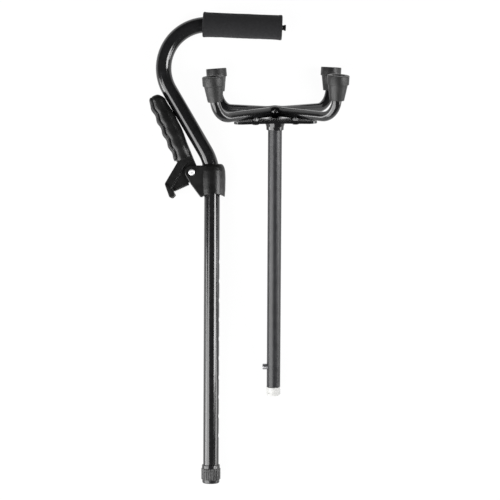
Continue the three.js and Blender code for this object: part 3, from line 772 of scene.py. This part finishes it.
def make_jaw_pad():
    low, high, teeth = -33.6, -10.6, 9
    pitch = (high - low) / teeth
    back = JAW_X - PAD_THICK
    outline = [(back, low, 0.2), (JAW_X - 0.9, low, 0.2)]
    for i in range(teeth):
        outline += [(JAW_X, low + (i + 0.22) * pitch, 0.35), (JAW_X, low + (i + 0.72) * pitch, 0.35),
                    (JAW_X - 0.9, low + (i + 0.98) * pitch, 0.2)]
    outline.append((back, high, 0.2))
    data = prism("jaw_pad", fillet(outline, 0.3, steps=3), -WEB, WEB, bevel=0.35)
    piece("jaw_pad_ribbed", data, ASSIST, "jaw_pad", sharp=35)


# ---- lock nut ----------------------------------------------------------------------------------------
NUT_HEIGHT, NUT_BAND_LOW, NUT_BAND_HIGH, NUT_RIBS = 25.6, 5.2, 20.9, 24
NUT_RIB_R, NUT_ROOT_R, NUT_TOP_R, NUT_RING_R = 13.45, 12.85, 12.6, 12.1
NUT_PLAIN_R = 12.3  # nothing inside this radius is ribbed


def make_lock_nut():
    rows = fillet(
        [(9.9, 1), (10.2, 0), (NUT_RING_R - 0.9, 0, 0.4), (NUT_RING_R, 1.2, 1.2),
         (NUT_RING_R, NUT_BAND_LOW, 0.2), (NUT_RIB_R, NUT_BAND_LOW + 0.4, 0.5),
         (NUT_RIB_R, NUT_BAND_HIGH - 0.4, 0.5), (NUT_TOP_R, NUT_BAND_HIGH, 0.2), (NUT_TOP_R, NUT_HEIGHT, 0.9),
         (TUBE_R + GAP, NUT_HEIGHT, 0.3), (TUBE_R + GAP, 20.5, 0.1), (12.2, 20.5, 0.1), (12.2, 4, 0.3),
         (11.4, 2.8, 0.3), (9.9, 2.8)],
        0.3)

    def ribbed(radius, y, angle):
        if radius < NUT_PLAIN_R or not NUT_BAND_LOW < y < NUT_BAND_HIGH:
            return radius
        wave = 0.5 + 0.5 * math.cos(angle * NUT_RIBS)
        wave = min(1.0, wave * 1.7) ** 0.8
        return min(radius, NUT_ROOT_R + (NUT_RIB_R - NUT_ROOT_R) * wave)

    data = lathe("lock_nut_shell", rows, NUT_RIBS * 12, ribbed)
    obj = piece("lock_nut_ribbed", data, UPPER, "lock_nut", sharp=32)
    band = FINISH["grey_black_nylon"]
    gloss = FINISH["nut_gloss"]
    obj.data.materials.clear()
    obj.data.materials.append(band)
    obj.data.materials.append(gloss)
    inverse = UPPER.inverted()
    for polygon in obj.data.polygons:
        y = (inverse @ polygon.center).y
        polygon.material_index = 0 if NUT_BAND_LOW - 0.1 < y < NUT_BAND_HIGH + 0.1 else 1


# ---- lower half: inner tube and what it carries ------------------------------------------------------
def make_inner_tube():
    places, ways = route([(Vector((0, BUSH_LENGTH + GAP, 0)), 0), (Vector((0, INNER_END, 0)), 0)], 6.0)
    data = pipe("inner_tube_body", places, ways, INNER_R, INNER_BORE_R, sides=72, lip=0.3)
    data = cut(data, rod_mesh("drill", BUTTON_R + 0.2, (-13, BUTTON_Y, 0), (-4, BUTTON_Y, 0), 40))
    piece("inner_tube_shell", data, LOWER, "inner_tube")


def make_end_bush():
    body = INNER_BORE_R - GAP
    data = turned(
        "end_bush",
        [(0, 1.6), (5, 1.6, 0.3), (5.6, 0, 0.5), (BUSH_R, 0, 1.1), (BUSH_R, 3.4, 0.2),
         (BUSH_R - 0.35, 3.8, 0.2), (BUSH_R - 0.35, 4.6, 0.2), (BUSH_R, 5.0, 0.2), (BUSH_R, BUSH_LENGTH, 0.6),
         (body, BUSH_LENGTH, 0.2), (body, 24.5), (body - 0.8, 26), (0, 26)],
        0.4, 72)
    piece("end_bush_white", data, LOWER, "end_bush")


def make_snap_button():
    tip = INNER_R + BUTTON_REACH
    data = turned(
        "snap_button",
        [(0, 5.2), (5, 5.2, 0.3), (5, 6.2, 0.3), (BUTTON_R, 6.2, 0.1), (BUTTON_R, tip - 0.4, 2.6),
         (1.2, tip, 1.5), (0, tip)],
        0.3, 48, steps=8)
    obj = piece("snap_button_dome", data, LOWER @ along((0, BUTTON_Y, 0), (-1, 0, 0)), "snap_button")
    obj.data.materials[0] = FINISH["dull_zinc"]


def make_collar():
    bore = INNER_R + GAP
    data = turned(
        "collar",
        [(bore, 373.6), (11.8, 373.6, 0.9), (12.1, 378.4, 2), (13.9, 384.2, 1.5), (13.9, 386, 0.4),
         (bore, 386)],
        0.3, 72)
    piece("base_collar_ring", data, LOWER, "base_collar")


def make_plates():
    quadrant = [(0, 41, 40), (43.5, 50, 4), (51.5, 48.5, 4), (55.5, 40, 4), (38, 0, 30)]
    outline = []
    for sx, sz in [(1, 1), (1, -1), (-1, -1), (-1, 1)]:
        side = [(sx * x, sz * z, r) for x, z, r in quadrant]
        outline += (side if sx * sz > 0 else side[::-1])[:-1]
    flat = fillet(outline, 4, steps=8)
    turn = Matrix.Rotation(math.radians(-90), 4, "X")
    layers = [("tube_flange_plate", "tube_flange"), ("leg_carrier_plate", "leg_plate")]
    for layer, (name, node) in enumerate(layers):
        bottom = PLATE_LOW + layer * (PLATE_THICK + PLATE_GAP)
        data = prism(name, [(p[0], -p[1]) for p in flat], 0, PLATE_THICK, bevel=0.45)
        data.transform(Matrix.Translation((0, bottom, 0)) @ turn)
        tools = [rod_mesh("hole", INNER_R + GAP, (0, bottom - 2, 0), (0, bottom + 5, 0), 72)]
        for sx in (-1, 1):
            for sz in (-1, 1):
                x, z = sx * BOLT_X, sz * BOLT_Z
                tools.append(rod_mesh("hole", BOLT_HOLE_R, (x, bottom - 2, z), (x, bottom + 5, z), 32))
        piece(name, cut(data, *tools), BASE, node, sharp=35)


def hexagon(radius, y, angle):
    """Six flats for the outside of a turned nut. Its bore stays round."""
    if radius < 3.6:
        return radius
    return min(radius, 4.0 / math.cos((angle + math.pi / 6) % (math.pi / 3) - math.pi / 6))


def make_bolts():
    for i, (sx, sz) in enumerate([(-1, 1), (1, 1), (1, -1), (-1, -1)], start=1):
        x, z = sx * BOLT_X, sz * BOLT_Z
        length = 2 * PLATE_THICK + 0.9 + 4.6
        bolt = turned(
            "bolt",
            [(0, -1), (3.6, -1, 0.5), (4.5, -0.4, 0.4), (4.5, 0, 0.1), (2.6, 0, 0.1), (2.6, length, 0.5),
             (0, length)],
            0.3, 40)
        place = BASE @ along((x, PLATE_LOW - GAP, z), (0, 1, 0))
        piece(f"plate_bolt_{i}_shaft", bolt, place, f"plate_bolt_{i}")
        bottom = PLATE_LOW + 2 * PLATE_THICK + 2 * PLATE_GAP
        nut = turned("nut", [(2.8, 0), (4.5, 0, 0.3), (4.5, 3.2, 0.6), (2.8, 3.2)], 0.2, 72, hexagon)
        piece(f"plate_nut_{i}_hex", nut, BASE @ along((x, bottom, z), (0, 1, 0)), f"plate_nut_{i}", sharp=25)


# ---- legs and feet -----------------------------------------------------------------------------------
def leg_frame(sx, sz):
    corner = Vector((sx * FOOT_X, FOOT_Y, sz * FOOT_Z))
    outward = Vector((sx * FOOT_X, 0, sz * (FOOT_Z - APEX_Z))).normalized()
    splay = math.radians(FOOT_SPLAY)
    down = Vector((0, 1, 0)) * math.cos(splay) + outward * math.sin(splay)
    return corner, down, corner + down * FOOT_DROP


def make_leg_tube(sz, name, node):
    (left, left_down, left_ground), (right, right_down, right_ground) = leg_frame(-1, sz), leg_frame(1, sz)
    back = TIP_FLOOR + 2.6
    apex = Vector((0, APEX_Y, sz * APEX_Z))
    corners = [(left_ground - left_down * back, 0), (left, FOOT_R), (apex, APEX_R), (right, FOOT_R),
               (right_ground - right_down * back, 0)]
    places, ways = route(corners, 4.0, 3.0)

    def bent(radius, place, out):
        """The sharp middle bend stands up a little, and its inner side is creased."""
        near = math.exp(-(place.x / 7.0) ** 2)
        rise = 1.2 * near * abs(out.y) ** 2
        crease = 1.5 * math.exp(-(place.x / 1.8) ** 2) * max(0.0, out.z * sz) ** 2
        flat = 0.5 * near * max(0.0, -out.z * sz)
        return radius + rise - crease - flat

    data = pipe(name, places, ways, LEG_R, LEG_BORE_R, sides=64, shape=bent)
    piece(name, data, BASE, node, sharp=50)


def make_tip(sx, sz, name, node):
    _, down, ground = leg_frame(sx, sz)
    bore = LEG_R + GAP
    data = turned(
        name,
        [(0, 1.2), (4.4, 1.2, 0.2), (4.7, 0.5, 0.2), (5.6, 0.5, 0.2), (5.9, 1.2, 0.2), (8.4, 1.2, 0.3),
         (8.9, 0, 0.4), (TIP_RIM_R, 0, 1.1), (TIP_RIM_R + 0.05, TIP_RIM_HEIGHT, 0.9),
         (TIP_BODY_R + 0.1, TIP_RIM_HEIGHT + 0.2, 0.5), (TIP_BODY_R - 0.5, TIP_RIM_HEIGHT + 4, 4),
         (TIP_MOUTH_R, TIP_HEIGHT, 0.7), (bore, TIP_HEIGHT, 0.5), (bore, TIP_FLOOR, 0.4), (0, TIP_FLOOR)],
        0.4, 72)
    piece(name, data, BASE @ along(ground, -down), node, sharp=38)


def make_legs():
    make_leg_tube(1, "leg_tube_front_bent", "leg_tube_front")
    make_leg_tube(-1, "leg_tube_rear_bent", "leg_tube_rear")
    for side, sx in (("left", -1), ("right", 1)):
        for end, sz in (("front", 1), ("rear", -1)):
            make_tip(sx, sz, f"rubber_tip_{end}_{side}", f"foot_tip_{end}_{side}")


# ---- floor, light and camera -------------------------------------------------------------------------
CAMERA_FROM_UPPER = Vector((0.0551, 0.3272, 1.94563))  # from the origin of the upper half's frame
LENS = 99.6
FLOOR_SIZE, FLOOR_DROP, FLOOR_GLOW = 14, 0.0006, 0.96


def make_floor():
    bpy.ops.mesh.primitive_plane_add(size=FLOOR_SIZE, location=(0, 0, -FLOOR_DROP))
    floor = bpy.context.active_object
    floor.name = "floor"
    material = bpy.data.materials.new("pale_floor")
    material.use_nodes = True
    tree = material.node_tree
    bsdf = tree.nodes["Principled BSDF"]
    bsdf.inputs["Base Color"].default_value = (0.02, 0.02, 0.02, 1)
    bsdf.inputs["Roughness"].default_value = 0.9
    bsdf.inputs["Emission Color"].default_value = (1, 1, 1, 1)
    bsdf.inputs["Emission Strength"].default_value = FLOOR_GLOW
    floor.data.materials.append(material)


def softbox(name, azimuth, tilt, distance, size, radiance):
    """A rectangular light that faces the cane from a direction, tilt degrees from straight up."""
    turn, lean = math.radians(azimuth), math.radians(tilt)
    away = Vector((math.cos(turn) * math.sin(lean), math.sin(turn) * math.sin(lean), math.cos(lean)))
    data = bpy.data.lights.new(name, "AREA")
    data.shape = "RECTANGLE"
    data.size, data.size_y = size
    data.energy = radiance * math.pi * size[0] * size[1]
    obj = bpy.data.objects.new(name, data)
    bpy.context.scene.collection.objects.link(obj)
    obj.location = away * distance
    obj.rotation_euler = away.to_track_quat("Z", "Y").to_euler()


def make_light():
    world = bpy.data.worlds.new("studio")
    bpy.context.scene.world = world
    world.use_nodes = True
    world.node_tree.nodes["Background"].inputs["Color"].default_value = (1, 1, 1, 1)
    world.node_tree.nodes["Background"].inputs["Strength"].default_value = 0.05
    softbox("left_softbox", 218, 56, 2.2, (2.4, 2.0), 7.5)
    softbox("right_softbox", 2, 52, 2.2, (1.0, 1.1), 16.0)
    softbox("left_low_strip", 191, 84, 2.4, (0.9, 0.9), 9.0)
    softbox("right_low_strip", -11, 84, 2.4, (0.9, 0.9), 9.0)


def make_camera():
    data = bpy.data.cameras.new("camera")
    data.lens = LENS
    data.sensor_width = 36
    data.clip_end = 50
    camera = bpy.data.objects.new("camera", data)
    bpy.context.scene.collection.objects.link(camera)
    camera.location = UPPER.translation + CAMERA_FROM_UPPER
    bpy.context.scene.camera = camera
    bpy.context.scene.view_settings.view_transform = "Standard"


make_camera()
make_floor()
make_light()
make_handle_tube()
make_foam_grip()
make_end_plug()
make_bracket()
make_pivot_pin()
make_assist_handle()
make_finger_grip()
make_jaw_pad()
make_lock_nut()
make_inner_tube()
make_end_bush()
make_snap_button()
make_collar()
make_plates()
make_bolts()
make_legs()
